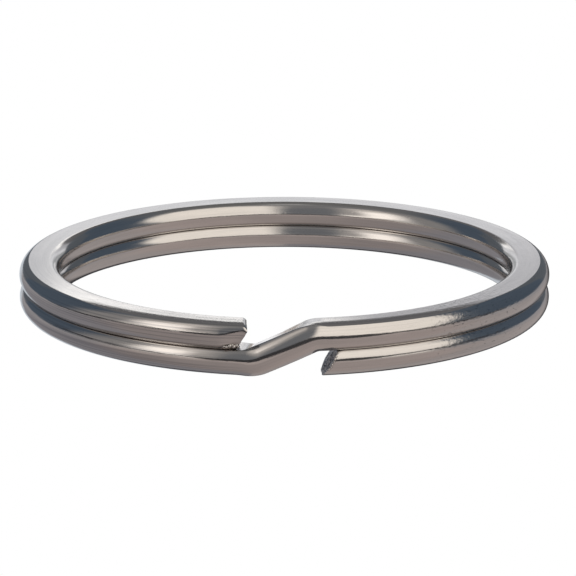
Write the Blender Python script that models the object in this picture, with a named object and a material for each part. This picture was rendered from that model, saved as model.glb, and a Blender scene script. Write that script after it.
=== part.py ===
"""Split key ring: one length of flattened spring-steel wire wound into two flat laps that lie on
each other and are joined by a short Z-shaped crossover at the front.

Row frame: +Z up, origin on the ring's axis in the plane that the ring rests on, -Y is the front,
where the crossover and both free ends are. Lengths are in metres.

The real ring is a single wire. It opens by bending and twisting along its laps, so each lap is made
as a chain of rigid stretches of that wire, cut square across it at its flexure points. Every stretch
is a swept section of the same wire, and the two laps are one another turned half a turn about the
front-to-back line through the middle of the crossover.
"""

import math

import bmesh
import bpy
from mathutils import Matrix, Vector

# ---------------------------------------------------------------- driving dimensions (metres)
OUTER_DIA = 0.0300  # over the bulge of the wire's sides
WIRE_WIDTH = 0.0023  # radial, over both rounded sides
WIRE_HEIGHT = 0.0014  # axial, between the rolled flats
FLAT_WIDTH = 0.00126  # of each rolled flat
LAP_GAP = 0.00005  # between the two laps, which touch on the real ring
CUT_GAP = 0.00006  # between two stretches of the same wire
RAMP_HALF = 0.00157  # half the crossover's length along the wire, between bend corners
BEND_RADIUS = 0.0016  # of the crossover's two bends, at the middle of the wire
CROSSOVER_END_DEG = 9.0  # the crossover's stretch ends this far each side of the front
FLEX_DEG = (127.0, 187.0, 247.0, 307.0)  # flexure points of a lap, from the front
TIP_DEG = 351.1  # the free end at the wire's mid height, from the front
TIP_SLANT_DEG = 0.95  # the shear cut leans by this much either side of TIP_DEG
STEP_DEG = 5.0  # length of one facet along a lap

CENTRE_R = OUTER_DIA / 2 - WIRE_WIDTH / 2
STACK = 2 * WIRE_HEIGHT + LAP_GAP
RISE = WIRE_HEIGHT + LAP_GAP
STEEL = (0.64, 0.61, 0.585, 1.0)


# ---------------------------------------------------------------- scene and material
for old in list(bpy.data.objects):
    bpy.data.objects.remove(old, do_unlink=True)

ring_parts = bpy.data.collections.new("split_key_ring")
cutters = bpy.data.collections.new("profiles")
bpy.context.scene.collection.children.link(ring_parts)
bpy.context.scene.collection.children.link(cutters)


def steel(name, roughness):
    made = bpy.data.materials.new(name)
    made.use_nodes = True
    shader = made.node_tree.nodes["Principled BSDF"]
    shader.inputs["Base Color"].default_value = STEEL
    shader.inputs["Metallic"].default_value = 1.0
    shader.inputs["Roughness"].default_value = roughness
    return made


# ---------------------------------------------------------------- the wire's section
def section_points(per_side=7):
    """The flattened wire's outline: two rolled flats and two sides that bulge as arcs."""
    half_h, flat = WIRE_HEIGHT / 2, FLAT_WIDTH / 2
    bulge = WIRE_WIDTH / 2 - flat
    radius = (half_h**2 + bulge**2) / (2 * bulge)
    centre = flat + bulge - radius
    most = math.asin(half_h / radius)
    right = []
    for i in range(per_side):
        a = -most + 2 * most * i / (per_side - 1)
        right.append((centre + radius * math.cos(a), radius * math.sin(a)))
    return right + [(-x, -y) for x, y in right]


def make_profile():
    outline = section_points()
    data = bpy.data.curves.new("wire_section", "CURVE")
    data.dimensions = "2D"
    spline = data.splines.new("POLY")
    spline.points.add(len(outline) - 1)
    for point, (x, y) in zip(spline.points, outline):
        point.co = (x, y, 0.0, 1.0)
    spline.use_cyclic_u = True
    made = bpy.data.objects.new("wire_section", data)
    made.hide_render = True
    made.display_type = "WIRE"
    cutters.objects.link(made)
    return made


# ---------------------------------------------------------------- the wire's line
def crossover_height(along):
    """Height of the wire's middle above the lower lap's, at a distance along the front of the ring."""
    slope = math.atan2(RISE, 2 * RAMP_HALF)
    tangent = BEND_RADIUS * math.tan(slope / 2)
    corner = RAMP_HALF
    along_from_top = corner - along  # 0 at the upper corner, positive down the ramp
    if along > 0:
        start = corner + tangent  # where the upper lap stops being level
        end = corner - tangent * math.cos(slope)
        if along >= start:
            return RISE
        if along >= end:
            return RISE - BEND_RADIUS + math.sqrt(BEND_RADIUS**2 - (start - along) ** 2)
        return RISE - along_from_top * math.tan(slope)
    return RISE - crossover_height(-along) if along < 0 else RISE / 2


def upper_point(deg):
    """The wire's middle on the upper lap's chain, deg counter-clockwise from the front."""
    a = math.radians(deg - 90.0)
    along = CENTRE_R * math.radians(deg)
    level = crossover_height(along) if deg < 30.0 else RISE
    return Vector((CENTRE_R * math.cos(a), CENTRE_R * math.sin(a), WIRE_HEIGHT / 2 + level))


HALF_TURN = Matrix.Translation((0, 0, STACK / 2)) @ Matrix.Rotation(math.pi, 4, "Y") @ Matrix.Translation((0, 0, -STACK / 2))


def angles(first, last, step):
    """Stations along a stretch, with a short facet at each end so that its end faces are square to the wire."""
    count = max(2, round((last - first) / step))
    inner = [first + (last - first) * i / count for i in range(1, count)]
    return [first, first + 0.25, *inner, last - 0.25, last]


# ---------------------------------------------------------------- solids
def swept(name, points, profile, material):
    """The wire's section swept along the points, as a mesh object with welded end caps."""
    data = bpy.data.curves.new(name, "CURVE")
    data.dimensions = "3D"
    data.twist_mode = "Z_UP"
    data.bevel_mode = "OBJECT"
    data.bevel_object = profile
    data.use_fill_caps = True
    spline = data.splines.new("POLY")
    spline.points.add(len(points) - 1)
    for point, co in zip(spline.points, points):
        point.co = (*co, 1.0)
    spline.use_smooth = False
    guide = bpy.data.objects.new(name + "_guide", data)
    cutters.objects.link(guide)
    bpy.context.view_layer.update()
    graph = bpy.context.evaluated_depsgraph_get()
    mesh = bpy.data.meshes.new_from_object(guide.evaluated_get(graph))
    matrix = guide.matrix_world.copy()
    bpy.data.objects.remove(guide, do_unlink=True)
    mesh.name = name
    work = bmesh.new()
    work.from_mesh(mesh)
    bmesh.ops.remove_doubles(work, verts=work.verts, dist=1e-6)
    bmesh.ops.recalc_face_normals(work, faces=work.faces)
    work.to_mesh(mesh)
    work.free()
    mesh.materials.clear()
    mesh.materials.append(material)
    made = bpy.data.objects.new(name, mesh)
    made.matrix_world = matrix
    ring_parts.objects.link(made)
    return made


def cut_square(made, point, outward):
    """Removes what lies past a plane through point, and closes the cut."""
    work = bmesh.new()
    work.from_mesh(made.data)
    every = list(work.verts) + list(work.edges) + list(work.faces)
    found = bmesh.ops.bisect_plane(
        work, geom=every, dist=1e-8, plane_co=point, plane_no=outward, clear_outer=True
    )
    rim = [e for e in found["geom_cut"] if isinstance(e, bmesh.types.BMEdge)]
    bmesh.ops.contextual_create(work, geom=rim)
    bmesh.ops.recalc_face_normals(work, faces=work.faces)
    work.to_mesh(made.data)
    work.free()


def turned(source, name, material):
    """The same stretch on the other lap: a copy given half a turn about the crossover's middle."""
    mesh = source.data.copy()
    mesh.name = name
    mesh.transform(HALF_TURN)
    mesh.materials.clear()
    mesh.materials.append(material)
    made = bpy.data.objects.new(name, mesh)
    ring_parts.objects.link(made)
    return made


def pivot_at(made, centre):
    """Moves an object's origin to its joint's axis, with its mesh left in place."""
    made.data.transform(Matrix.Translation(-centre))
    made.location = centre


def finish_edges(made):
    made.data.shade_smooth()
    made.data.set_sharp_from_angle(angle=math.radians(35.0))


profile = make_profile()
half_cut = math.degrees(CUT_GAP / 2 / CENTRE_R)

# The crossover: level on the lower lap, up the ramp, level on the upper lap.
last = CROSSOVER_END_DEG - half_cut
stations = [-last, -last + 0.25] + [-7.9 + 15.8 * i / 20 for i in range(21)] + [last - 0.25, last]
crossover = swept("crossover_bend", [upper_point(d) for d in stations], profile, steel("crossover_bend", 0.16))

# The stretches of the upper lap in order from the crossover to its free end.
upper_names = ("upper_lap_right", "upper_lap_back_right", "upper_lap_back_left", "upper_lap_left", "upper_free_end")
lower_names = ("lower_lap_left", "lower_lap_back_left", "lower_lap_back_right", "lower_lap_right", "lower_free_end")
starts = (CROSSOVER_END_DEG, *FLEX_DEG)
ends = (*FLEX_DEG, TIP_DEG + 2 * TIP_SLANT_DEG + 1.0)
chain = []
for name, begin, end in zip(upper_names, starts, ends):
    first = begin + half_cut
    final = end - (half_cut if name != "upper_free_end" else 0.0)
    line = [upper_point(d) for d in angles(first, final, STEP_DEG)]
    chain.append(swept(name, line, profile, steel(name, 0.14)))

# The shear cut on the free end: a plane on a radius of the ring that leans over the crossover.
tip = chain[-1]
tip_middle = upper_point(TIP_DEG)
along = Vector((-math.sin(math.radians(TIP_DEG - 90.0)), math.cos(math.radians(TIP_DEG - 90.0)), 0.0))
lean = CENTRE_R * math.radians(TIP_SLANT_DEG) / (WIRE_HEIGHT / 2)
cut_square(tip, tip_middle, (along - lean * Vector((0, 0, 1))).normalized())

lower = [turned(stretch, name, steel(name, 0.14)) for stretch, name in zip(chain, lower_names)]

# Each moving stretch turns about its own flexure point. The first one of a lap rocks on the outer
# edge of its flat, where the laps part. The others turn about the middle of the wire.
for stretch, other, flex in zip(chain[1:], lower[1:], FLEX_DEG):
    hinge = upper_point(flex)
    if flex == FLEX_DEG[0]:
        outward = Vector((hinge.x, hinge.y, 0.0)).normalized()
        hinge += outward * FLAT_WIDTH / 2 - Vector((0, 0, WIRE_HEIGHT / 2))
    pivot_at(stretch, hinge)
    pivot_at(other, HALF_TURN @ hinge)

for made in (crossover, *chain, *lower):
    finish_edges(made)
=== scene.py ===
"""Looks of the split key ring: one length of flattened, nickel plated wire wound into two laps that climb past each
other at a joggle in front. Lengths are in millimetres until the meshes are made."""
import math

import bpy
import numpy as np
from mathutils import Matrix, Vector, noise


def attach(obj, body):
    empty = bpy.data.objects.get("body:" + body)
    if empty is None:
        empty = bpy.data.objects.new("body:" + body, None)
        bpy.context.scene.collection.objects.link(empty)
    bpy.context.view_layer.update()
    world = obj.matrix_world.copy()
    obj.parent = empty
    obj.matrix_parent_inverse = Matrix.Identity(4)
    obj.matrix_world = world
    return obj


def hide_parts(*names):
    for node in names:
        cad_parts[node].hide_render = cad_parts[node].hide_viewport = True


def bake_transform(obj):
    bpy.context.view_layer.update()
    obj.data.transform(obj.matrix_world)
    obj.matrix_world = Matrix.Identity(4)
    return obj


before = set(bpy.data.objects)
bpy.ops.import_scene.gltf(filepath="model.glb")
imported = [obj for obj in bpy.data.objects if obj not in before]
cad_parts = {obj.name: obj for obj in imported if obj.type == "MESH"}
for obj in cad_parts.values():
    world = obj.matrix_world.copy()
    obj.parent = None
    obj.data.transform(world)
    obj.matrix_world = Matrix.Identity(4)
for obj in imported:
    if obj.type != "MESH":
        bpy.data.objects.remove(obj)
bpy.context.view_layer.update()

MM = 0.001

# ---------------------------------------------------------------- the wire
OUTER_R = 15.0          # outer radius of the ring
WIRE_W = 2.3            # wire width, radially
WIRE_H = 1.4            # wire height
LAP_GAP = 0.05          # play between the closed laps
CENTRE_R = OUTER_R - WIRE_W / 2
RISE = WIRE_H + LAP_GAP
STACK = 2 * WIRE_H + LAP_GAP
RAMP_HALF = 1.57        # half the joggle's length
BEND_LOW, BEND_HIGH = 2.2, 1.25   # bend radii of the wire's middle at the foot and the head of the joggle
UPPER_TIP, UPPER_SLANT = 351.1, 0.62    # where the free ends stop, and how far their cuts lean, in degrees along the wire
LOWER_TIP, LOWER_SLANT = -350.5, 1.35
CONTACT = 0.02          # how far each lap's contact flat stands out, so that the closed laps bear on each other


def outline(v0, radius, turn, edge, top, crown=None, n=(11, 8, 5)):
    """A quarter of the wire's outline, from its widest point to the middle of a flat, for the upper outer corner: the side
    is an arc of a radius about the height v0, up to a turn in degrees; then comes the edge's arc, and the flat at a height
    top. With a crown, the edge stops at 80 degrees, and a wide arc of that radius joins it to the flat."""
    half = WIRE_W / 2
    pts = []
    ns, ne, nf = n
    t1 = math.radians(turn)
    for i in range(ns):
        t = t1 * i / ns
        pts.append((half - radius * (1 - math.cos(t)), v0 + radius * math.sin(t), math.cos(t), math.sin(t)))
    u1, v1 = half - radius * (1 - math.cos(t1)), v0 + radius * math.sin(t1)
    t2 = math.radians(80 if crown else 90)
    for i in range(ne):
        t = t1 + (t2 - t1) * i / (ne - (0 if crown else 1))
        pts.append((u1 - edge * (math.cos(t1) - math.cos(t)), v1 + edge * (math.sin(t) - math.sin(t1)), math.cos(t), math.sin(t)))
    if crown:
        u2, v2 = u1 - edge * (math.cos(t1) - math.cos(t2)), v1 + edge * (math.sin(t2) - math.sin(t1))
        for i in range(4):
            t = t2 + (math.pi / 2 - t2) * i / 3
            pts.append((u2 - crown * (math.cos(t2) - math.cos(t)), v2 + crown * (math.sin(t) - math.sin(t2)), math.cos(t), math.sin(t)))
    else:
        u2 = pts[-1][0]
        for i in range(1, 5):
            pts.append((u2 * (1 - i / 6), pts[-1][1], 0.0, 1.0))
    q = np.array(pts)
    # the last point lies exactly at the flat's height
    q[:, 1] += (top - q[-1, 1]) * step(0.0, 1.0, np.arange(len(q)) / (len(q) - 1.0)) if abs(top - q[-1, 1]) < 0.03 else 0
    return q


def step(lo, hi, x):
    t = np.clip((x - lo) / (hi - lo), 0, 1)
    return t * t * (3 - 2 * t)


def closed(outer_top, inner_top, inner_low, outer_low):
    """A whole outline from its four quarters, each made as an upper outer corner, counter-clockwise from the outer side."""
    flip = np.array([-1, 1, -1, 1.0])
    drop = np.array([1, -1, 1, -1.0])
    mid = lambda q: np.array([[0.0, q[-1, 1], 0.0, 1.0]])
    return np.concatenate([
        outer_top, mid(outer_top), inner_top[::-1] * flip,
        inner_low[1:] * flip * drop, mid(inner_low) * drop, outer_low[1:][::-1] * drop])


HALF_H = WIRE_H / 2
# The laps bear on each other with nearly sharp edges, and their free edges are rounded by the coiling and the tumbling.
UPPER_SECTION = closed(
    outline(-0.07, 0.8415, 63.3, 0.17, HALF_H),
    outline(-0.04, 0.79, 60, 0.42, HALF_H),
    outline(0.04, 0.868, 50, 0.064, HALF_H + CONTACT),
    outline(0.07, 0.829, 50, 0.064, HALF_H + CONTACT))
# in front, the coiling has also worn the upper lap's outer edge to a low crown
CROWNED_SECTION = closed(
    outline(-0.07, 0.95, 45, 0.15, HALF_H, crown=3.73),
    outline(-0.04, 0.79, 60, 0.42, HALF_H),
    outline(0.04, 0.868, 50, 0.064, HALF_H + CONTACT),
    outline(0.07, 0.829, 50, 0.064, HALF_H + CONTACT))
# the free end's side stands upright
FREE_SECTION = closed(
    outline(0.06, 0.766, 45, 0.15, HALF_H, crown=3.73),
    outline(-0.04, 0.79, 60, 0.42, HALF_H),
    outline(0.04, 0.868, 50, 0.064, HALF_H + CONTACT),
    outline(-0.06, 0.999, 50, 0.064, HALF_H + CONTACT))
LOWER_SECTION = closed(
    outline(0.10, 0.814, 48, 0.058, HALF_H + CONTACT),
    outline(0.12, 0.787, 48, 0.058, HALF_H + CONTACT),
    outline(-0.12, 0.85, 68, 0.45, HALF_H),
    outline(-0.10, 0.83, 68, 0.45, HALF_H))


def twisted(q, degrees):
    """An outline whose upper part is turned about the wire's middle, outer edge up, with its normals found again."""
    turn = math.radians(degrees) * step(-0.3, 0.3, q[:, 1])
    u, v = q[:, 0] * np.cos(turn) - q[:, 1] * np.sin(turn), q[:, 0] * np.sin(turn) + q[:, 1] * np.cos(turn)
    du, dv = np.roll(u, -1) - np.roll(u, 1), np.roll(v, -1) - np.roll(v, 1)
    long = np.hypot(du, dv)
    return np.stack([u, v, dv / long, -du / long], axis=1)


# on the joggle the wire touches nothing: its shoulder is full, and its top leans a little inward
RAMP_SECTION = twisted(closed(
    outline(-0.06, 1.05, 48, 0.15, 0.759),
    outline(0.02, 0.79, 60, 0.42, 0.759),
    outline(-0.02, 0.8815, 50, 0.20, HALF_H),
    outline(-0.02, 0.94, 50, 0.20, 0.745)), 8.5)


def section(psi):
    """The outline at psi degrees along the wire, from the lower lap's to the upper lap's across the joggle."""
    foot, head = float(step(-10.5, -5, psi)), float(step(3.2, 9.6, psi))
    q = LOWER_SECTION * (1 - foot) + RAMP_SECTION * (foot - head) + UPPER_SECTION * head
    from_front = abs((psi + 180.0) % 360.0 - 180.0)
    crown = float(1 - step(36.0, 54.0, from_front)) * head
    q = q + (CROWNED_SECTION - UPPER_SECTION) * crown
    q = q + (FREE_SECTION - CROWNED_SECTION) * float(step(302.0, 326.0, psi))
    q[:, 2:] /= np.linalg.norm(q[:, 2:], axis=1, keepdims=True)
    return q


def level(x):
    """Height of the wire's middle above the lower lap's, and its slope, at a distance along the wire from the joggle's middle."""
    slope = math.atan2(RISE, 2 * RAMP_HALF)
    tl, tu = BEND_LOW * math.tan(slope / 2), BEND_HIGH * math.tan(slope / 2)
    x = np.asarray(x, float)
    z = (x + RAMP_HALF) * math.tan(slope)
    s = np.full_like(x, slope)
    foot = np.clip(x + RAMP_HALF + tl, 0, None)
    inside = x <= -RAMP_HALF + tl * math.cos(slope)
    d = np.where(inside, np.minimum(foot, BEND_LOW * 0.9), 0)
    z = np.where(inside, BEND_LOW - np.sqrt(BEND_LOW ** 2 - d ** 2), z)
    s = np.where(inside, np.arcsin(d / BEND_LOW), s)
    head = np.clip(RAMP_HALF + tu - x, 0, None)
    inside = x >= RAMP_HALF - tu * math.cos(slope)
    d = np.where(inside, np.minimum(head, BEND_HIGH * 0.9), 0)
    z = np.where(inside, RISE - (BEND_HIGH - np.sqrt(BEND_HIGH ** 2 - d ** 2)), z)
    s = np.where(inside, np.arcsin(d / BEND_HIGH), s)
    return z, s


def place(psi, u, v):
    """Points of the wire at psi degrees along it from the joggle, u outward and v up in its section."""
    a = np.radians(psi - 90)
    ca, sa = np.cos(a), np.sin(a)
    z, s = level(CENTRE_R * np.radians(psi))
    ss, cs = np.sin(s), np.cos(s)
    r = CENTRE_R + u
    return np.stack([r * ca + v * ss * sa, r * sa - v * ss * ca, v * cs + WIRE_H / 2 + z], axis=-1)


def worked(psi, u, v):
    """The wire as the shears and the coiling leave it: the ends lean with the cut, their upper corner is rolled over, and
    the side under it is drawn in."""
    mm = math.radians(1) * CENTRE_R
    # the upper free end
    near = step(UPPER_TIP - 7.0, UPPER_TIP, psi)
    last = np.clip((psi - (UPPER_TIP - 1.0)) / 1.0, 0, 1)
    lean = psi + near * (UPPER_SLANT * (1 - 3.9 * np.clip((0.50 - v) / 1.25, 0, 1)) + 0.82 * u / 1.15)
    side = np.clip(u / 1.15, 0, 1)
    drawn = step(UPPER_TIP - 4.9, UPPER_TIP, psi)
    u_up = u - drawn * side * (0.42 * np.clip(0.58 - v, 0, 0.46) + 0.14 * np.clip(0.12 - v, 0, 0.85))
    v_up = v - 0.15 * last ** 2.2 * step(-0.2, 0.7, v)
    # the lower free end
    near_l = step(-LOWER_TIP - 7.0, -LOWER_TIP, -psi)
    last_l = np.clip((-psi - (-LOWER_TIP - 1.6)) / 1.6, 0, 1)
    lean = lean + LOWER_SLANT * near_l * v / 0.7
    lean = lean - 0.40 * near_l * np.clip(u / 1.15, -1, 1) * step(0.1, 0.7, -v)
    lean = lean + 1.9 * near_l * np.clip(-u / 1.15, 0, 1) * np.clip((v + 0.7) / 1.4, 0, 1)
    v_low = v_up - 0.05 * last_l ** 2.5 * step(0.0, 0.7, v)
    return lean, u_up, v_low


def wire(psi, u, v):
    return place(*worked(psi, u, v))


def rows_between(a, b):
    """Where the wire is cut across for its mesh: every degree, closer together at the joggle and at the free ends."""
    marks = [a, b]
    x = math.ceil(a)
    while x < b:
        marks.append(float(x))
        x += 1
    marks += [x * 0.25 for x in range(-44, 45)]
    marks += [UPPER_TIP - 9 + 0.5 * i for i in range(12)] + [UPPER_TIP - 3 + 0.2 * i for i in range(16)]
    marks += [LOWER_TIP + 9 - 0.5 * i for i in range(12)] + [LOWER_TIP + 3 - 0.2 * i for i in range(16)]
    marks = sorted(set(round(m, 4) for m in marks if a - 1e-6 <= m <= b + 1e-6))
    kept = [marks[0]]
    for m in marks[1:]:
        if m - kept[-1] > 0.08:
            kept.append(m)
    kept[-1] = marks[-1]
    return np.array(kept)


def cap_rings(psi, depth, seed, into):
    """Rings of points that fill the wire's sheared end, from its rim to its middle: a bright sheared band, then a torn,
    pitted field. depth is the roughness in mm; into is +1 where the wire goes on towards larger psi."""
    rings = []
    outline_ = section(psi)
    for k in (0.965, 0.9, 0.82, 0.73, 0.64, 0.55, 0.46, 0.37, 0.28, 0.19, 0.1):
        u, v = outline_[:, 0] * k, outline_[:, 1] * k
        field = step(0.98, 0.8, np.full(len(u), k))
        d = []
        for x, y in zip(u, v):
            p = Vector((x * 4.0 + seed, y * 4.0, seed * 0.7))
            n = noise.fractal(p, 0.9, 2.1, 4) + 0.5 * noise.noise(Vector((x * 2.5, y * 9.0 + seed, 3.1)))
            d.append(n)
        d = np.array(d) * depth * field + 0.35 * depth * field
        deg = np.degrees(d / CENTRE_R)
        rings.append(wire(np.full(len(u), psi) + into * np.clip(deg, -0.12, 0.6), u, v))
    return rings


def torn_rim(psi, amount, seed, into):
    """How far each rim point of a sheared end stands back, in degrees along the wire."""
    out = []
    for u, v in section(400.0 * -into)[:, :2]:
        n = noise.fractal(Vector((u * 3.5 + seed, v * 3.5, seed)), 1.0, 2.0, 3)
        out.append(max(-0.1, n) * amount)
    return np.array(out) * into


# what the shears left hanging at the upper tip's lower corner: degrees along the wire, place in the section, size in mm
BURR = ((347.9, 1.04, -0.50, 0.060), (348.5, 1.04, -0.53, 0.075), (349.1, 1.03, -0.49, 0.105), (349.6, 1.05, -0.43, 0.070),
        (350.1, 1.00, -0.53, 0.110), (350.6, 1.03, -0.45, 0.085), (351.0, 0.98, -0.54, 0.072))

# and the curled lip along the outer rim of the lower end's cut
LIP = ((-350.25, 1.08, 0.44, 0.050), (-350.32, 1.12, 0.32, 0.060), (-350.30, 1.14, 0.18, 0.055), (-350.36, 1.14, 0.04, 0.066),
       (-350.25, 1.12, -0.11, 0.050), (-350.40, 1.08, -0.23, 0.062))


def lump(psi0, u0, v0, size):
    """A small uneven lump of metal, most of it sunk in the wire: its points, and its faces with their normals outward."""
    n_lat, n_lon = 7, 10
    mm = math.degrees(1.0 / CENTRE_R)
    pts, faces = [], []
    for i in range(n_lat + 1):
        lat = math.pi * i / n_lat - math.pi / 2
        for j in range(n_lon if 0 < i < n_lat else 1):
            lon = 2 * math.pi * j / n_lon
            d = Vector((math.cos(lat) * math.cos(lon), math.cos(lat) * math.sin(lon), math.sin(lat)))
            r = size * (1.0 + 0.45 * noise.noise(d * 1.6 + Vector((psi0, u0 * 9, v0 * 5))))
            pts.append(wire(np.array(psi0 + d.x * r * mm * 1.3), np.array(u0 + d.y * r), np.array(v0 + d.z * r)))
    ring = lambda i: 0 if i == 0 else 1 + (i - 1) * n_lon
    last = len(pts) - 1
    for j in range(n_lon):
        k = (j + 1) % n_lon
        faces.append((0, ring(1) + k, ring(1) + j))
        for i in range(1, n_lat - 1):
            faces.append((ring(i) + j, ring(i) + k, ring(i + 1) + k, ring(i + 1) + j))
        faces.append((ring(n_lat - 1) + j, ring(n_lat - 1) + k, last))
    pts = np.array(pts)
    # turn the faces outward
    f = faces[n_lon]
    nrm = np.cross(pts[f[1]] - pts[f[0]], pts[f[2]] - pts[f[1]])
    if nrm @ (pts[list(f)].mean(axis=0) - pts.mean(axis=0)) < 0:
        faces = [tuple(reversed(x)) for x in faces]
    return pts, faces


def stretch(name, a, b, tips=()):
    """One stretch of the wire as a closed mesh. An end named in tips is a sheared end; the others meet the next stretch."""
    psi = rows_between(a, b)
    S = np.array([section(p) for p in psi])
    n = S.shape[1]
    P = np.repeat(psi[:, None], n, axis=1)
    U, V, TU, TV = S[:, :, 0], S[:, :, 1], -S[:, :, 3], S[:, :, 2]
    if "high" in tips:
        torn = torn_rim(b, 0.10, 5.0, -1)
        w = step(b - 0.8, b, psi)[:, None]
        P = P + w * torn[None, :]
    if "low" in tips:
        torn = torn_rim(a, 0.28, 11.0, 1)
        w = step(a + 1.0, a, psi)[:, None]
        P = P + w * torn[None, :]
    co = wire(P, U, V)
    e = 0.004
    along = wire(P + e, U, V) - wire(P - e, U, V)
    round_ = wire(P, U + TU * e, V + TV * e) - wire(P, U - TU * e, V - TV * e)
    nor = np.cross(round_, along)
    nor /= np.linalg.norm(nor, axis=-1, keepdims=True)
    verts = co.reshape(-1, 3)
    wire_co = np.stack([P * math.radians(1) * CENTRE_R, U, V], axis=-1).reshape(-1, 3)
    m = len(psi)
    i, j = np.meshgrid(np.arange(m - 1), np.arange(n), indexing="ij")
    k = (j + 1) % n
    quads = np.stack([i * n + j, i * n + k, (i + 1) * n + k, (i + 1) * n + j], axis=-1).reshape(-1, 4)
    faces = [tuple(int(x) for x in q) for q in quads]
    kinds = [0] * len(faces)
    lumps = {}
    for high in (False, True):
        base = (m - 1) * n if high else 0
        rim = [base + x for x in range(n)]
        tip = ("high" if high else "low") in tips
        if not tip:
            faces.append(tuple(rim) if high else tuple(reversed(rim)))
            kinds.append(1)
            continue
        rings = cap_rings(b if high else a, 0.045 if high else 0.085, 7.0 if high else 3.0, -1 if high else 1)
        prev = rim
        for ring in rings:
            start = len(verts)
            verts = np.concatenate([verts, ring])
            sec = np.full((n, 3), (b if high else a) * math.radians(1) * CENTRE_R)
            sec[:, 1:] = S[0, :, :2] * 0.8
            wire_co = np.concatenate([wire_co, sec])
            now = list(range(start, start + n))
            for x in range(n):
                y = (x + 1) % n
                f = (prev[x], prev[y], now[y], now[x])
                faces.append(f if high else tuple(reversed(f)))
                kinds.append(1)
            prev = now
        faces.append(tuple(prev) if high else tuple(reversed(prev)))
        kinds.append(1)
    for psi0, u0, v0, size in (BURR if "high" in tips else LIP if "low" in tips else ()):
        ball, quads_ = lump(psi0, u0, v0, size)
        start = len(verts)
        verts = np.concatenate([verts, ball])
        sec = np.full((len(ball), 3), psi0 * math.radians(1) * CENTRE_R)
        sec[:, 1:] = (u0, v0)
        wire_co = np.concatenate([wire_co, sec])
        faces += [tuple(start + x for x in f) for f in quads_]
        kinds += [2] * len(quads_)
        middle = ball.mean(axis=0)
        for x, q in enumerate(ball):
            lumps[start + x] = tuple((q - middle) / np.linalg.norm(q - middle))
    mesh = bpy.data.meshes.new(name)
    mesh.from_pydata([tuple(v * MM) for v in verts], [], faces)
    mesh.polygons.foreach_set("material_index", [k % 2 for k in kinds])
    mesh.polygons.foreach_set("use_smooth", [True] * len(faces))
    at = mesh.attributes.new("wire_co", "FLOAT_VECTOR", "POINT")
    at.data.foreach_set("vector", wire_co.astype(np.float32).ravel())
    uv = mesh.uv_layers.new(name="along")
    loops = np.empty(len(mesh.loops), np.int64)
    mesh.loops.foreach_get("vertex_index", loops)
    uvs = np.stack([wire_co[loops, 0] * 0.01, wire_co[loops, 1] * 0.1 + wire_co[loops, 2] * 0.2], axis=-1)
    uv.data.foreach_set("uv", uvs.astype(np.float32).ravel())
    # the wire's own normals, so that neighbouring stretches shade as one surface
    flat = nor.reshape(-1, 3)
    custom = np.zeros((len(loops), 3))
    for poly, kind in zip(mesh.polygons, kinds):
        ls = slice(poly.loop_start, poly.loop_start + poly.loop_total)
        # 0 is the wire's side, 1 a cut end or an inner joint, and 2 a burr
        if kind == 0:
            custom[ls] = flat[loops[ls]]
        elif kind == 1:
            custom[ls] = tuple(poly.normal)
        else:
            custom[ls] = [lumps[int(x)] for x in loops[ls]]
    mesh.normals_split_custom_set([tuple(x) for x in custom])
    mesh.validate(clean_customdata=False)
    ob = bpy.data.objects.new(name, mesh)
    bpy.context.scene.collection.objects.link(ob)
    return ob


# ---------------------------------------------------------------- node helpers
class Nodes:
    """Writes sums on sockets as nodes."""

    def __init__(self, tree):
        self.tree = tree

    def new(self, kind, **values):
        node = self.tree.nodes.new(kind)
        for key, value in values.items():
            setattr(node, key, value)
        return node

    def put(self, socket, value):
        if isinstance(value, bpy.types.NodeSocket):
            self.tree.links.new(value, socket)
        else:
            socket.default_value = value

    def math(self, op, *args):
        node = self.new("ShaderNodeMath", operation=op)
        for s, v in zip(node.inputs, args):
            self.put(s, v)
        return node.outputs[0]

    def add(self, a, b): return self.math("ADD", a, b)
    def sub(self, a, b): return self.math("SUBTRACT", a, b)
    def mul(self, a, b): return self.math("MULTIPLY", a, b)
    def maxi(self, a, b): return self.math("MAXIMUM", a, b)
    def mini(self, a, b): return self.math("MINIMUM", a, b)

    def ramp(self, x, lo, hi, a=0.0, b=1.0):
        """From a to b as x goes from lo to hi, smoothly, and level outside."""
        node = self.new("ShaderNodeMapRange", interpolation_type="SMOOTHSTEP")
        self.put(node.inputs["Value"], x)
        if lo > hi:
            lo, hi, a, b = hi, lo, b, a
        node.inputs["From Min"].default_value, node.inputs["From Max"].default_value = lo, hi
        node.inputs["To Min"].default_value, node.inputs["To Max"].default_value = a, b
        return node.outputs["Result"]

    def blend(self, f, a, b):
        node = self.new("ShaderNodeMix", data_type="RGBA", clamp_factor=True)
        self.put(node.inputs[0], f)
        for s, c in ((node.inputs[6], a), (node.inputs[7], b)):
            self.put(s, c if isinstance(c, bpy.types.NodeSocket) else (*c, 1.0))
        return node.outputs[2]

    def lit(self, base, colour, amount):
        """base plus colour times amount"""
        node = self.new("ShaderNodeMix", data_type="RGBA", blend_type="ADD", clamp_factor=False)
        self.put(node.inputs[0], amount)
        self.put(node.inputs[6], base if isinstance(base, bpy.types.NodeSocket) else (*base, 1.0))
        self.put(node.inputs[7], colour if isinstance(colour, bpy.types.NodeSocket) else (*colour, 1.0))
        return node.outputs[2]


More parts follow.
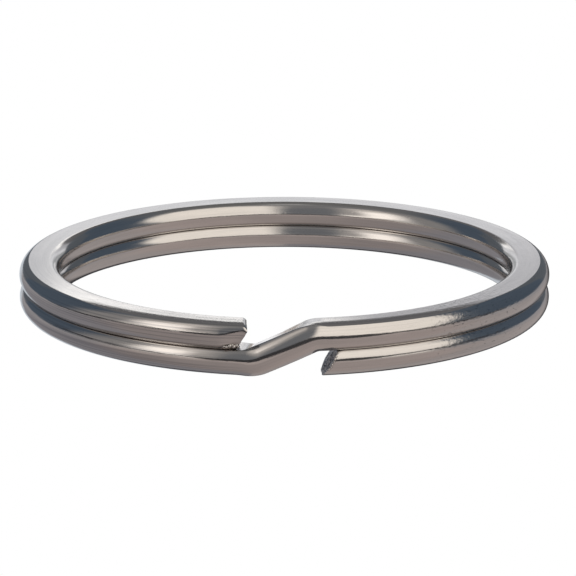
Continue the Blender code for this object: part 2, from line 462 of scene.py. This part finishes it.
# ---------------------------------------------------------------- materials
def plated_wire():
    """Bright nickel over drawn steel: fine draw lines along the wire, a soft unevenness of the plating, and small dents."""
    mat = bpy.data.materials.new("nickel_plated_wire")
    mat.use_nodes = True
    t = mat.node_tree
    n = Nodes(t)
    bsdf = t.nodes["Principled BSDF"]
    bsdf.inputs["Metallic"].default_value = 1.0
    co = n.new("ShaderNodeAttribute", attribute_name="wire_co").outputs["Vector"]
    wear = n.new("ShaderNodeAttribute", attribute_name="drawn").outputs["Fac"]
    pitted = n.new("ShaderNodeAttribute", attribute_name="pitted").outputs["Fac"]
    parts = n.new("ShaderNodeSeparateXYZ")
    n.put(parts.inputs[0], co)
    # the flats are rolled smoother than the sides
    wear = n.mul(wear, n.ramp(n.math("ABSOLUTE", parts.outputs[2]), 0.60, 0.68, 1.0, 0.12))

    def field(scale, detail=2.0, rough=0.5, offset=(0, 0, 0), distortion=0.0):
        mapping = n.new("ShaderNodeMapping")
        n.put(mapping.inputs["Vector"], co)
        mapping.inputs["Scale"].default_value = scale
        mapping.inputs["Location"].default_value = offset
        tex = n.new("ShaderNodeTexNoise", noise_dimensions="3D")
        n.put(tex.inputs["Vector"], mapping.outputs[0])
        tex.inputs["Scale"].default_value = 1.0
        tex.inputs["Detail"].default_value = detail
        tex.inputs["Roughness"].default_value = rough
        tex.inputs["Distortion"].default_value = distortion
        return tex.outputs["Fac"]

    lines = field((0.16, 5.5, 5.5), 3.0, 0.55)
    fine = field((0.35, 17.0, 17.0), 2.0, 0.6, (3.1, 1.7, 4.4))
    swell = field((0.5, 1.3, 1.3), 2.0, 0.5, (9.0, 2.0, 5.0))
    tone = field((0.25, 2.2, 2.2), 3.0, 0.6, (1.0, 7.0, 3.0))
    dents = n.new("ShaderNodeTexVoronoi", feature="F1")
    dm = n.new("ShaderNodeMapping")
    n.put(dm.inputs["Vector"], co)
    dm.inputs["Scale"].default_value = (1.6, 2.4, 2.4)
    n.put(dents.inputs["Vector"], dm.outputs[0])
    dents.inputs["Scale"].default_value = 1.0
    dents.inputs["Randomness"].default_value = 1.0
    pit = n.ramp(dents.outputs["Distance"], 0.05, 0.22)
    # height in millimetres
    amount = n.math("MULTIPLY_ADD", wear, 0.0088, 0.0028)
    height = n.mul(n.sub(lines, 0.5), amount)
    height = n.add(height, n.mul(n.sub(fine, 0.5), 0.0010))
    height = n.add(height, n.mul(n.sub(swell, 0.5), 0.0050))
    height = n.add(height, n.mul(pit, 0.0012))
    grain = field((4.5, 9.0, 9.0), 2.0, 0.6, (2.0, 8.0, 6.0))
    height = n.add(height, n.mul(n.mul(n.sub(grain, 0.5), pitted), 0.0105))
    bump = n.new("ShaderNodeBump")
    bump.inputs["Strength"].default_value = 1.0
    bump.inputs["Distance"].default_value = MM
    n.put(bump.inputs["Height"], height)
    t.links.new(bump.outputs["Normal"], bsdf.inputs["Normal"])
    metal = n.blend(n.ramp(tone, 0.25, 0.75), (0.655, 0.628, 0.602), (0.60, 0.578, 0.556))
    # darker draw lines, and a few dark specks where the coiling rolls have pitted the plating
    streak = field((0.07, 10.0, 10.0), 3.0, 0.6, (7.0, 3.0, 1.0))
    drawn_dark = n.mul(n.ramp(streak, 0.52, 0.36), n.math("MULTIPLY_ADD", wear, 0.42, 0.06))
    metal = n.blend(drawn_dark, metal, (0.30, 0.295, 0.31))
    specks = n.mul(n.ramp(grain, 0.40, 0.30), pitted)
    metal = n.blend(n.mul(specks, 0.55), metal, (0.16, 0.16, 0.18))
    t.links.new(metal, bsdf.inputs["Base Color"])
    rough = n.math("MULTIPLY_ADD", n.ramp(fine, 0.3, 0.8), 0.05, 0.095)
    rough = n.add(rough, n.ramp(tone, 0.35, 0.7, 0.0, 0.03))
    t.links.new(rough, bsdf.inputs["Roughness"])
    return mat


def sheared_steel():
    """The cut ends: torn, unpolished steel with a thin, uneven plating."""
    mat = bpy.data.materials.new("sheared_steel")
    mat.use_nodes = True
    t = mat.node_tree
    n = Nodes(t)
    bsdf = t.nodes["Principled BSDF"]
    bsdf.inputs["Metallic"].default_value = 1.0
    co = n.new("ShaderNodeTexCoord").outputs["Object"]
    mapping = n.new("ShaderNodeMapping")
    n.put(mapping.inputs["Vector"], co)
    mapping.inputs["Scale"].default_value = (5000, 5000, 5000)
    tex = n.new("ShaderNodeTexNoise", noise_dimensions="3D")
    n.put(tex.inputs["Vector"], mapping.outputs[0])
    tex.inputs["Scale"].default_value = 1.0
    tex.inputs["Detail"].default_value = 4.0
    tex.inputs["Roughness"].default_value = 0.7
    fac = tex.outputs["Fac"]
    bump = n.new("ShaderNodeBump")
    bump.inputs["Strength"].default_value = 1.0
    bump.inputs["Distance"].default_value = MM * 0.06
    n.put(bump.inputs["Height"], fac)
    t.links.new(bump.outputs["Normal"], bsdf.inputs["Normal"])
    t.links.new(n.blend(n.ramp(fac, 0.35, 0.65), (0.20, 0.212, 0.235), (0.62, 0.62, 0.63)), bsdf.inputs["Base Color"])
    t.links.new(n.ramp(fac, 0.3, 0.7, 0.24, 0.42), bsdf.inputs["Roughness"])
    return mat


PLATED, SHEARED = plated_wire(), sheared_steel()


def dress(ob):
    ob.data.materials.append(PLATED)
    ob.data.materials.append(SHEARED)
    n = len(ob.data.vertices)
    w = np.empty(n * 3, np.float32)
    ob.data.attributes["wire_co"].data.foreach_get("vector", w)
    psi = np.degrees(w.reshape(-1, 3)[:, 0] / CENTRE_R)
    # the draw lines are strongest on the stretch in front of the upper free end, and on the lap under it
    front = step(255, 300, psi) + step(-110, -60, psi) * (1 - step(-22, -6, psi))
    drawn = 0.12 + 0.88 * np.clip(front, 0, 1)
    at = ob.data.attributes.new("drawn", "FLOAT", "POINT")
    at.data.foreach_set("value", drawn.astype(np.float32))
    # the pitted stretches: both laps at the front right
    turn = np.mod(psi, 360.0)
    pitted = step(28, 38, turn) * (1 - step(52, 66, turn))
    at = ob.data.attributes.new("pitted", "FLOAT", "POINT")
    at.data.foreach_set("value", (0.08 + 0.92 * pitted).astype(np.float32))
    return ob


SEAM = 97.0
body = dress(stretch("wire_joggle_and_front", -SEAM, SEAM))
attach(body, "crossover")
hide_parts("crossover_bend", "upper_lap_right", "lower_lap_left")

CHAINS = {
    "upper": (1, ["crossover", "upper_back_right", "upper_back_left", "upper_left", "upper_end"],
              [("upper_lap_right", "upper_lap_back_right"), ("upper_lap_back_right", "upper_lap_back_left"),
               ("upper_lap_back_left", "upper_lap_left"), ("upper_lap_left", "upper_free_end")],
              ["wire_upper_back_right", "wire_upper_back_left", "wire_upper_left", "wire_upper_free_end"]),
    "lower": (-1, ["crossover", "lower_back_left", "lower_back_right", "lower_right", "lower_end"],
              [("lower_lap_left", "lower_lap_back_left"), ("lower_lap_back_left", "lower_lap_back_right"),
               ("lower_lap_back_right", "lower_lap_right"), ("lower_lap_right", "lower_free_end")],
              ["wire_lower_back_left", "wire_lower_back_right", "wire_lower_right", "wire_lower_free_end"]),
}
for lap, (sign, bodies, nodes, names) in CHAINS.items():
    ends = [SEAM, 157.0, 217.0, 277.0, UPPER_TIP if sign > 0 else -LOWER_TIP]
    for k in range(4):
        a, b = sorted((sign * ends[k], sign * ends[k + 1]))
        tips = () if k < 3 else (("high",) if sign > 0 else ("low",))
        piece = dress(stretch(names[k], a, b, tips))
        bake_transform(piece)
        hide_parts(*nodes[k])

# ---------------------------------------------------------------- the studio
scene = bpy.context.scene
scene.view_settings.view_transform = "Standard"
scene.view_settings.look = "None"


def direction(az, el):
    a, e = math.radians(az), math.radians(el)
    return Vector((math.sin(a) * math.cos(e), -math.cos(a) * math.cos(e), math.sin(e)))


def studio():
    """A light tent: a soft box to the right, a dimmer one to the left, a dark gap between them in front where the camera
    stands, a pale back wall, and a warm grey table that the lower sides mirror. Azimuth 0 is the camera's, and +90 is right."""
    world = bpy.data.worlds.new("studio")
    scene.world = world
    world.use_nodes = True
    t = world.node_tree
    t.nodes.clear()
    n = Nodes(t)
    d = n.new("ShaderNodeTexCoord").outputs["Generated"]
    sep = n.new("ShaderNodeSeparateXYZ")
    n.put(sep.inputs[0], d)
    x, y, z = sep.outputs
    az = n.math("DEGREES", n.math("ARCTAN2", x, n.mul(y, -1.0)))
    el = n.math("DEGREES", n.math("ARCSINE", z))
    side = n.math("ABSOLUTE", az)

    def edge(p, q, soft, soft_in=None):
        """1 on the left of the great circle from p to q, seen from inside, with an edge soft degrees wide."""
        normal = direction(*p).cross(direction(*q)).normalized()
        node = n.new("ShaderNodeVectorMath", operation="DOT_PRODUCT")
        n.put(node.inputs[0], d)
        node.inputs[1].default_value = normal
        s = math.sin(math.radians(soft))
        return n.ramp(node.outputs["Value"], -s, s)

    def window(bl, br, tr, tl, soft=(3, 3, 3, 3)):
        """Light between four corners, each an azimuth and an elevation: bottom left, bottom right, top right, top left.
        soft is for the bottom, right, top and left edges."""
        w = edge(bl, br, soft[0])
        for a, b, s in ((br, tr, soft[1]), (tr, tl, soft[2]), (tl, bl, soft[3])):
            w = n.mul(w, edge(a, b, s))
        return w

    k = 1 / 0.63          # what the plating takes away
    c = lambda *rgb: tuple(v * k for v in rgb)
    # sky: dark sides, pale low back
    sky = n.blend(n.ramp(side, 60, 100), c(0.115, 0.120, 0.130), c(0.052, 0.069, 0.093))
    back = n.blend(n.ramp(el, 19, 25), c(0.42, 0.44, 0.47), c(0.11, 0.11, 0.115))
    sky = n.blend(n.ramp(side, 148, 168), sky, back)
    high = n.blend(n.ramp(side, 90, 130), c(0.15, 0.15, 0.155), c(0.12, 0.12, 0.12))
    sky = n.blend(n.ramp(el, 42, 66), sky, high)
    sky = n.blend(n.ramp(el, 82, 86), sky, c(0.26, 0.26, 0.26))
    # the two soft boxes
    right = window((3, 0), (76, 0), (102, 60), (9, 74), (2.0, 6, 6, 6))
    right = n.mul(right, edge((60, -6), (91, 32), 5))
    sky = n.blend(right, sky, c(0.74, 0.695, 0.645))
    dim = window((-100, 0), (-27, 0), (-40, 62), (-100, 60), (2.0, 5, 7, 9))
    sky = n.blend(dim, sky, n.blend(n.ramp(side, 78, 66), c(0.19, 0.185, 0.185),
                  n.blend(n.ramp(side, 54, 42), c(0.43, 0.41, 0.395), c(0.29, 0.275, 0.265))))
    left = window((-63, 10), (-42, 1), (-54, 62), (-82, 60), (2.5, 6, 7, 8))
    sky = n.blend(left, sky, n.blend(n.ramp(el, 40, 54), c(0.98, 0.92, 0.87), c(0.46, 0.43, 0.405)))
    sill = window((-46, 0), (-31, 0), (-31, 9), (-46, 10), (1.5, 4, 3, 5))
    sky = n.blend(sill, sky, c(0.78, 0.735, 0.695))
    # table
    table = n.blend(n.ramp(az, -60, 70), c(0.205, 0.182, 0.180), c(0.290, 0.250, 0.240))
    table = n.blend(n.ramp(side, 70, 105), table, n.blend(n.ramp(az, -60, 70), c(0.175, 0.170, 0.185), c(0.275, 0.252, 0.250)))
    table = n.blend(n.ramp(el, -16, -2), table, n.blend(n.ramp(side, 62, 95), c(0.325, 0.285, 0.272), c(0.235, 0.228, 0.238)))
    under = n.mul(n.ramp(side, 148, 166), n.mul(n.ramp(el, -62, -50), n.ramp(el, -2, -9)))
    table = n.blend(under, table, c(0.030, 0.030, 0.033))
    # a pale strip far behind on the left, at the outermost rim of both laps
    rim = n.mul(n.mul(n.ramp(az, -152, -160), n.ramp(az, -179, -174)), n.mul(n.ramp(el, -42, -30), n.ramp(el, 2, -2)))
    table = n.blend(rim, table, c(0.40, 0.43, 0.47))
    env = n.blend(n.ramp(el, -1.5, 1.0), table, sky)
    bg = n.new("ShaderNodeBackground")
    n.put(bg.inputs["Color"], env)
    white = n.new("ShaderNodeBackground")
    white.inputs["Color"].default_value = (1, 1, 1, 1)
    path = n.new("ShaderNodeLightPath").outputs["Is Camera Ray"]
    mix = n.new("ShaderNodeMixShader")
    n.put(mix.inputs[0], path)
    n.put(mix.inputs[1], bg.outputs[0])
    n.put(mix.inputs[2], white.outputs[0])
    out = n.new("ShaderNodeOutputWorld")
    n.put(out.inputs[0], mix.outputs[0])


studio()


def glowing(name, colour):
    """An evenly lit card's material."""
    mat = bpy.data.materials.new(name)
    mat.use_nodes = True
    t = mat.node_tree
    t.nodes.clear()
    n = Nodes(t)
    em = n.new("ShaderNodeEmission")
    em.inputs["Color"].default_value = (*colour, 1.0)
    out = n.new("ShaderNodeOutputMaterial")
    n.put(out.inputs[0], em.outputs[0])
    return mat


def card(name, corners, mat, camera=False):
    mesh = bpy.data.meshes.new(name)
    mesh.from_pydata([tuple(c * MM for c in p) for p in corners], [], [(0, 1, 2, 3)])
    mesh.materials.append(mat)
    ob = bpy.data.objects.new(name, mesh)
    scene.collection.objects.link(ob)
    ob.visible_camera = camera
    ob.visible_glossy = not camera
    ob.visible_diffuse = ob.visible_transmission = ob.visible_volume_scatter = False
    ob.visible_shadow = False
    return ob


# the pale floor: plain white under the ring, seen by the camera from above only
floor_mat = glowing("pale_floor", (1.0, 1.0, 1.0))
ft = floor_mat.node_tree
emission = next(x for x in ft.nodes if x.type == "EMISSION")
output = next(x for x in ft.nodes if x.type == "OUTPUT_MATERIAL")
see = ft.nodes.new("ShaderNodeBsdfTransparent")
geo = ft.nodes.new("ShaderNodeNewGeometry")
mixer = ft.nodes.new("ShaderNodeMixShader")
ft.links.new(geo.outputs["Backfacing"], mixer.inputs[0])
ft.links.new(emission.outputs[0], mixer.inputs[1])
ft.links.new(see.outputs[0], mixer.inputs[2])
ft.links.new(mixer.outputs[0], output.inputs[0])
card("floor", [(-400, -400, -3.4), (400, -400, -3.4), (400, 400, -3.4), (-400, 400, -3.4)], floor_mat, camera=True)

K = 1 / 0.63


def white_card():
    """A white card close behind the ring, which the flats mirror: bright above, and paler below and towards the right."""
    mat = glowing("white_card", (1, 1, 1))
    t = mat.node_tree
    n = Nodes(t)
    sep = n.new("ShaderNodeSeparateXYZ")
    n.put(sep.inputs[0], n.new("ShaderNodeTexCoord").outputs["Object"])
    x, y, z = (n.mul(v, 1 / MM) for v in sep.outputs)
    c = lambda *rgb: tuple(v * K for v in rgb)
    far = n.ramp(z, 16.0, 18.5)
    near = n.blend(n.ramp(x, -6, 8), c(0.44, 0.45, 0.475), c(0.39, 0.395, 0.42))
    low = n.blend(far, c(0.58, 0.59, 0.62), near)
    bright = n.mul(n.ramp(n.sub(z, n.ramp(x, -15, -9, 0.0, 1.6)), 18.6, 21.4), n.mul(n.ramp(x, 7.5, 2.0), n.ramp(x, -18.8, -16.0)))
    f = n.blend(bright, low, c(0.97, 0.97, 0.97))
    f = n.blend(n.ramp(z, 14.0, 9.5), f, c(0.26, 0.27, 0.28))
    f = n.blend(n.ramp(z, 25.0, 27.4), f, c(0.09, 0.09, 0.095))
    f = n.blend(n.ramp(n.math("ABSOLUTE", x), 19.8, 22.5), f, c(0.075, 0.085, 0.098))
    em = next(v for v in t.nodes if v.type == "EMISSION")
    n.put(em.inputs["Color"], f)
    return mat


card("back_card", [(-56, 60, 1), (56, 60, 1), (56, 60, 44), (-56, 60, 44)], white_card())
# and a small one at its foot, mirrored by the leaning top of the joggle
card("low_card", [(-11.5, 59, -9.5), (-2.0, 59, -9.5), (-2.0, 59, 5.5), (-11.5, 59, 5.5)], glowing("low_white", (1.15, 1.15, 1.18)))


def dark_strip():
    """A narrow black strip that stands round the ring's front, at the height of its middle: it is the thin dark line that
    the outer sides mirror between the soft boxes and the table. It is highest in front and tapers towards the sides."""
    pts, faces = [], []
    steps = 60
    for i in range(steps + 1):
        az = -88 + (78 + 88) * i / steps
        half = 1.45 + (0.60 - 1.45) * float(step(20, 34, abs(az)))
        half *= 1 - 0.85 * float(step(62, 88, abs(az)))
        mid = 2.3 + 0.15 * float(step(20, 34, abs(az)))
        d = direction(az, 0) * 24.0
        pts += [(d.x * MM, d.y * MM, (mid - half) * MM), (d.x * MM, d.y * MM, (mid + half) * MM)]
        if i:
            k = 2 * i
            faces.append((k - 2, k, k + 1, k - 1))
    mesh = bpy.data.meshes.new("dark_strip")
    mesh.from_pydata(pts, [], faces)
    mesh.materials.append(glowing("strip_black", (0.045, 0.044, 0.048)))
    ob = bpy.data.objects.new("dark_strip", mesh)
    scene.collection.objects.link(ob)
    ob.visible_camera = False
    ob.visible_diffuse = ob.visible_transmission = ob.visible_volume_scatter = ob.visible_shadow = False


dark_strip()

# ---------------------------------------------------------------- the camera
cam_data = bpy.data.cameras.new("camera")
cam = bpy.data.objects.new("camera", cam_data)
scene.collection.objects.link(cam)
scene.camera = cam
ELEVATION, DISTANCE = math.radians(14.82), 195.2
aim = Vector((0, 0, STACK / 2)) * MM
cam.location = aim + Vector((0, -math.cos(ELEVATION), math.sin(ELEVATION))) * DISTANCE * MM
cam.rotation_mode = "QUATERNION"
cam.rotation_quaternion = (aim - cam.location).to_track_quat("-Z", "Y")
cam_data.sensor_width = 36.0
cam_data.lens = 3436.0 / 576.0 * 36.0
cam_data.shift_x = (288.0 - 284.4) / 576.0
cam_data.shift_y = (280.5 - 288.0) / 576.0
cam_data.clip_start, cam_data.clip_end = 0.01, 10.0
